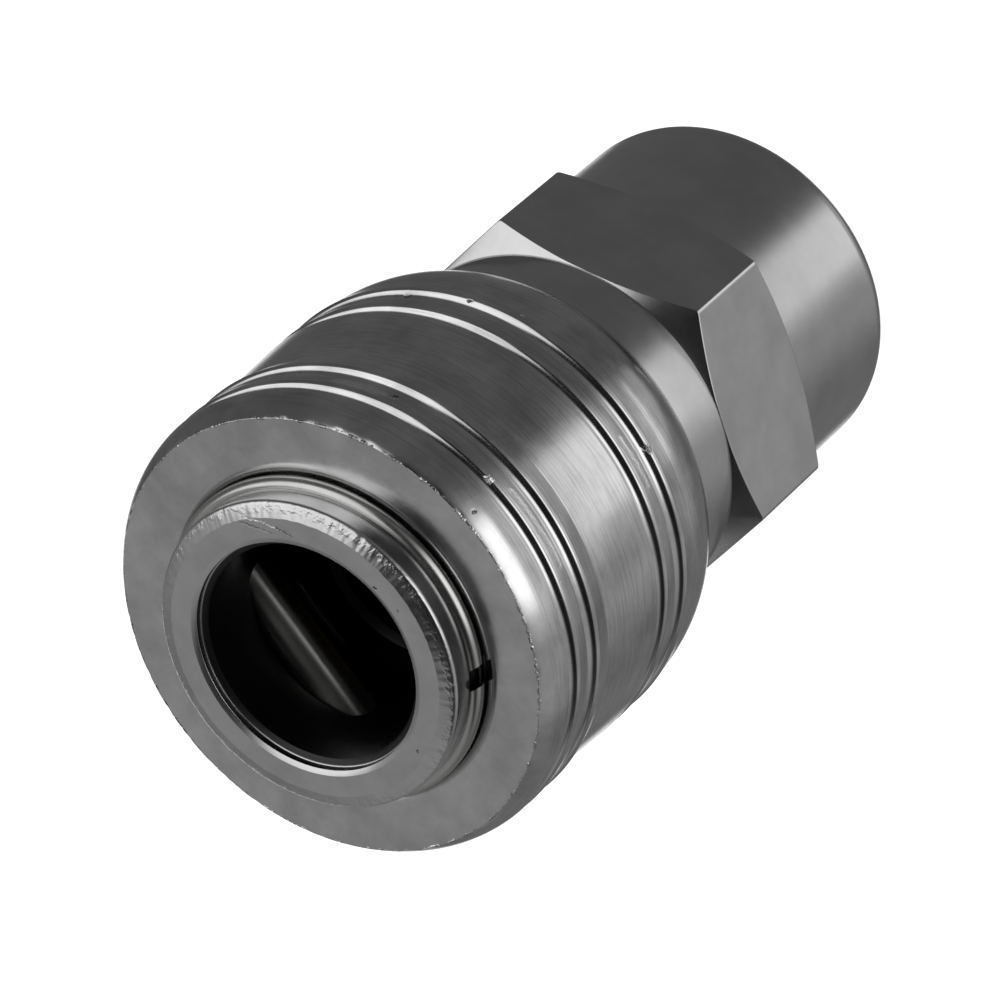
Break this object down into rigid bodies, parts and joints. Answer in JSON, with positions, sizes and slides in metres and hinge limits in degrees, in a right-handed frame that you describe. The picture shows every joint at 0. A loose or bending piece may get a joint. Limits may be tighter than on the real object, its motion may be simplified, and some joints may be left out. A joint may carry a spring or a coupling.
{
  "type": "quick coupling",
  "caption": "Female quick coupling: a grooved sliding sleeve over a plug socket with slanted locking pins and a sprung shut-off valve, on a hexagon adapter with a female pipe thread.",
  "frame": {"origin": "centre of the threaded end's face, which the coupling stands on", "axes": "+Z along the coupling's axis, out of the plug socket; -Y through a corner of the hexagon, +X square to one of its flats"},
  "size_m": [0.0262, 0.0262, 0.044],
  "materials": {
    "nickel_sleeve": "turned and nickel plated",
    "nickel_body": "turned and nickel plated",
    "nickel_adapter": "turned and nickel plated",
    "pin_steel": "ground",
    "ring_steel": "bare",
    "spring_steel": "drawn wire",
    "brass": "turned",
    "seal_rubber": "moulded"
  },
  "bodies": {
    "coupling_body": {"nose_body": "nickel_body", "adapter": "nickel_adapter", "snap_ring": "ring_steel", "packing": "seal_rubber", "seat_ring": "brass", "valve_guide": "brass", "gasket": "seal_rubber"},
    "thrust_ring": {"thrust_ring": "ring_steel", "sleeve_spring": "spring_steel"},
    "sleeve": {"sleeve": "nickel_sleeve"},
    "locking_pin_1": {"locking_pin_1": "pin_steel"},
    "locking_pin_2": {"locking_pin_2": "pin_steel"},
    "valve": {"valve": "brass", "valve_ring": "seal_rubber", "valve_spring": "spring_steel"}
  },
  "joints": [
    {"name": "sleeve_slide", "type": "slide", "parent": "coupling_body", "child": "thrust_ring", "axis": [0, 0, -1], "range_m": [0, 0.003], "stiffness_N_per_m": 3000, "springref_m": -0.003, "deforming": ["sleeve_spring"]},
    {"name": "sleeve_turn", "type": "hinge", "parent": "thrust_ring", "child": "sleeve", "pos_m": [0, 0, 0.03234], "axis": [0, 0, 1], "continuous": true},
    {"name": "pin_1_slide", "type": "slide", "parent": "coupling_body", "child": "locking_pin_1", "axis": [0.069, 0.5618, -0.8244], "range_m": [0, 0.00364]},
    {"name": "pin_2_slide", "type": "slide", "parent": "coupling_body", "child": "locking_pin_2", "axis": [-0.069, -0.5618, -0.8244], "range_m": [0, 0.00364]},
    {"name": "valve_slide", "type": "slide", "parent": "coupling_body", "child": "valve", "axis": [0, 0, -1], "range_m": [0, 0.0035], "stiffness_N_per_m": 1500, "springref_m": -0.003, "deforming": ["valve_spring"]}
  ],
  "couplings": [
    {"joint": "pin_1_slide", "follows": "sleeve_slide", "ratio": 1.2131},
    {"joint": "pin_2_slide", "follows": "sleeve_slide", "ratio": 1.2131}
  ]
}
